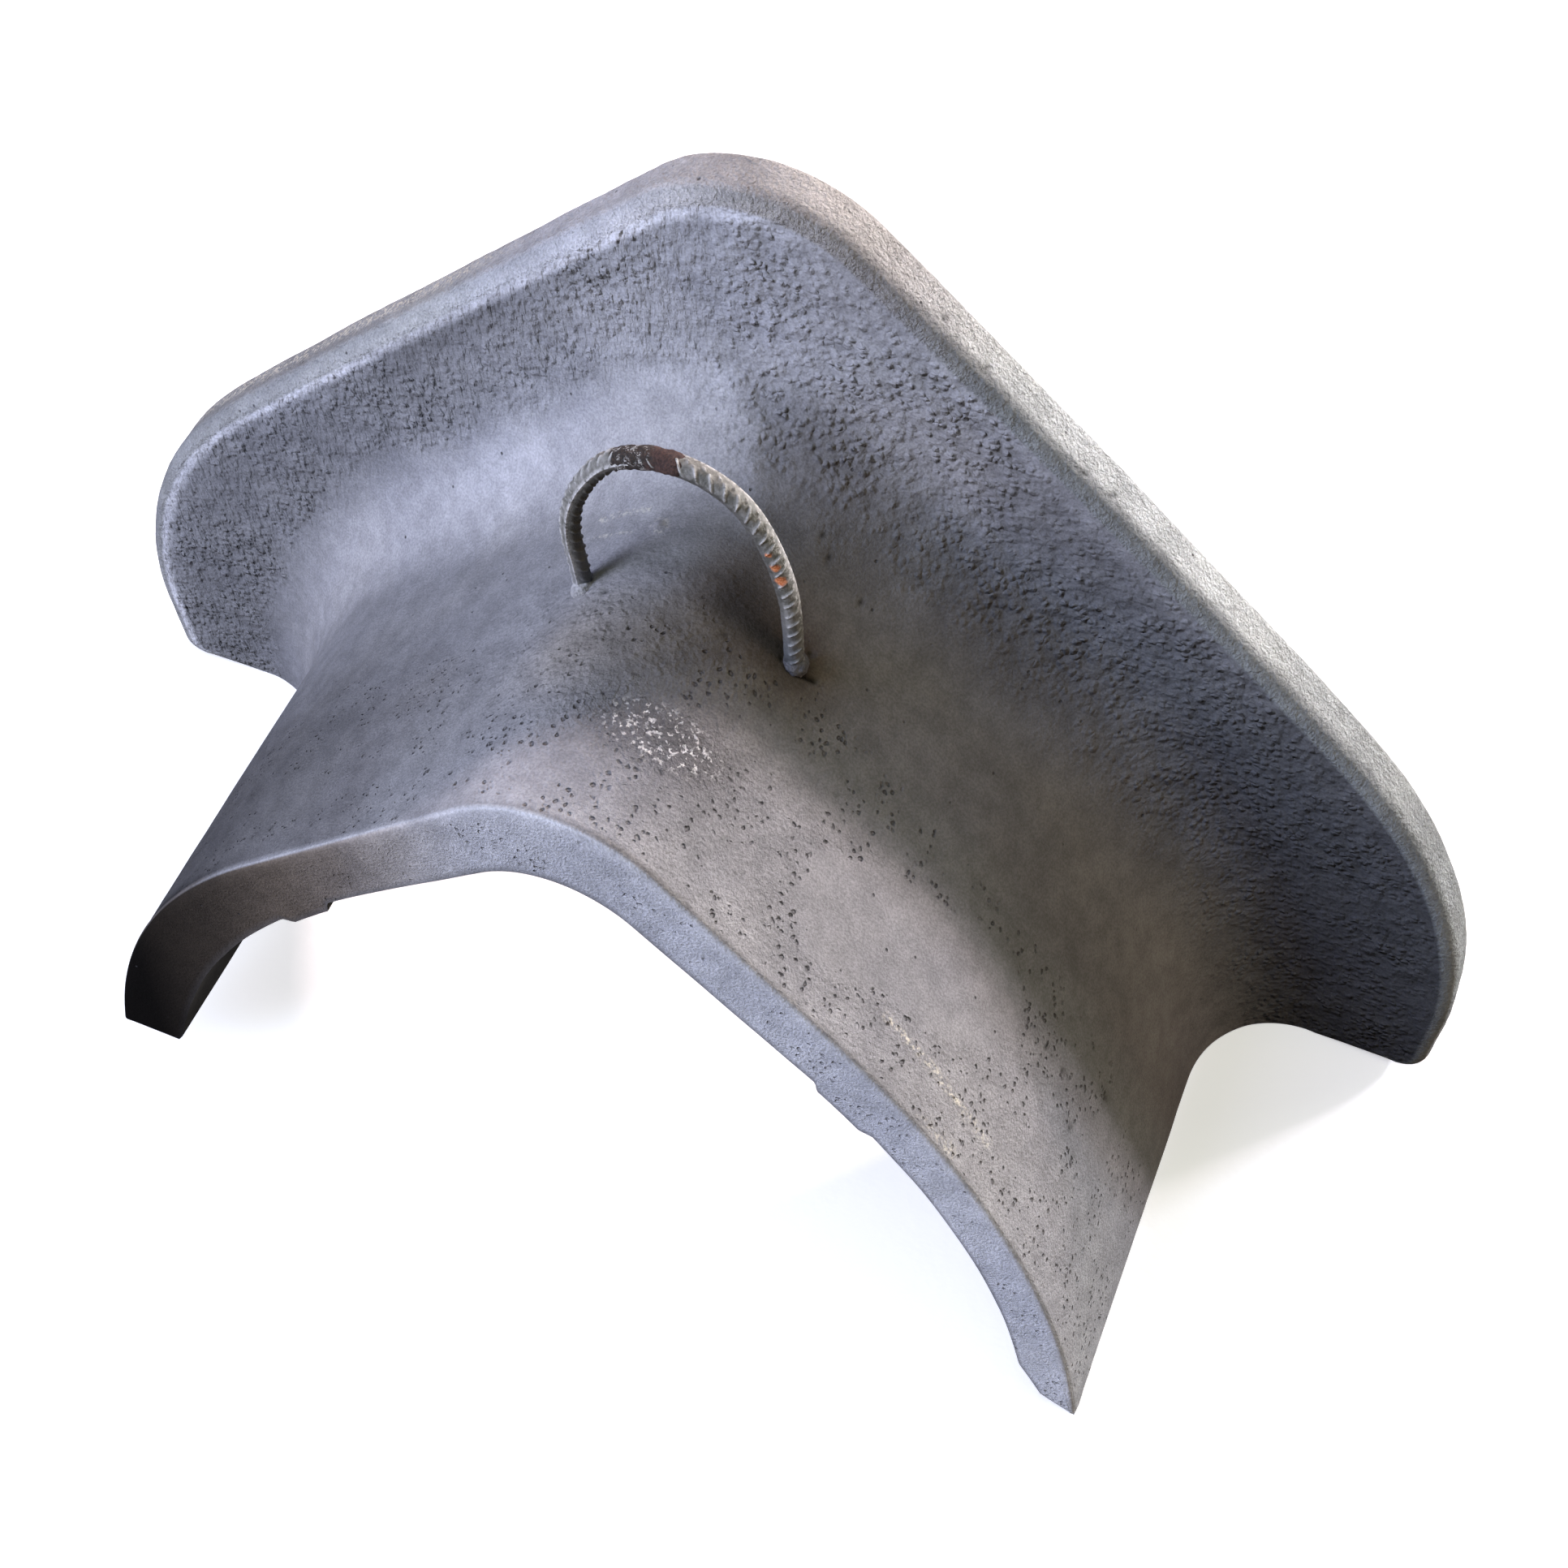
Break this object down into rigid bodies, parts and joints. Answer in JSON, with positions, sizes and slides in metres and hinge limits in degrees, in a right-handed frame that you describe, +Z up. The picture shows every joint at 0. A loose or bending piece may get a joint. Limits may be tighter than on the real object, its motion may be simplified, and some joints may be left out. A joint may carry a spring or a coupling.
{
  "type": "crusher arm guard",
  "caption": "Cast saddle-shaped arm guard with rounded ridge, flaring legs, curved end flange and a ribbed bar lifting loop.",
  "frame": {"origin": "bottom centre of the bounding box: on the centre plane of the saddle, at the level of the right leg's bottom face and the flange foot, midway between the near leg tips and the back of the flange", "axes": "X across the saddle from leg to leg, +Y along the arm from the near end to the flange, +Z up from the leg bottoms to the ridge"},
  "size_m": [0.896, 0.3351, 0.5555],
  "materials": {
    "cast_body": "grey primer over a rough sand-cast surface",
    "loop_bar": "grey primer over ribbed bar, chipped",
    "rusty_weld": "rough, rusted and scaled",
    "foot_weld": "lumpy weld under grey primer"
  },
  "bodies": {
    "root": {"guard_casting": "cast_body", "loop_bar_left": "loop_bar", "loop_bar_right": "loop_bar", "joint_weld": "rusty_weld", "left_foot_weld": "foot_weld", "right_foot_weld": "foot_weld"}
  },
  "joints": []
}
